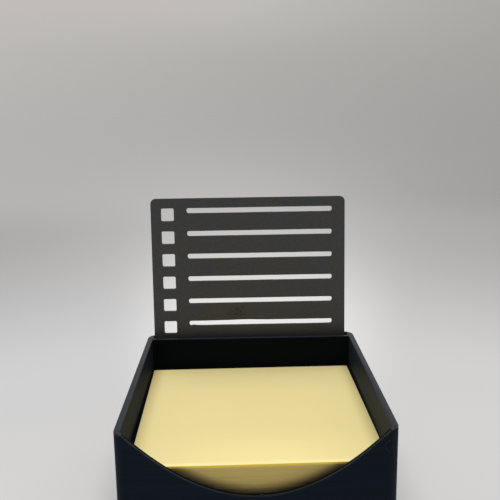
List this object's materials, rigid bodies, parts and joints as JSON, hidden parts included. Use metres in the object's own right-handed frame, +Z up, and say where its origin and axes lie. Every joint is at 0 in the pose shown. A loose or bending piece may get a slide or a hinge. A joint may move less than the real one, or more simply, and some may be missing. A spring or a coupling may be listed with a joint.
{
  "type": "sticky note dispenser",
  "caption": "Open desk tray for square sticky notes, with a scooped front wall and a slot in its rear wall that holds a leaning checklist stencil plate.",
  "frame": {"origin": "centre of the tray's base, on the surface that it stands on", "axes": "+Z up, -Y to the front with the scoop, +Y to the rear with the stencil, +X to the right as seen from the front"},
  "size_m": [0.0818, 0.0911, 0.1001],
  "materials": {
    "tray": "matte printed plastic with fine layer lines",
    "stencil": "matte printed plastic",
    "notes": "uncoated paper"
  },
  "bodies": {
    "root": {"tray": "tray", "stencil": "stencil", "note_pad_bottom": "notes", "note_pad_middle": "notes", "note_pad_top": "notes"}
  },
  "joints": []
}
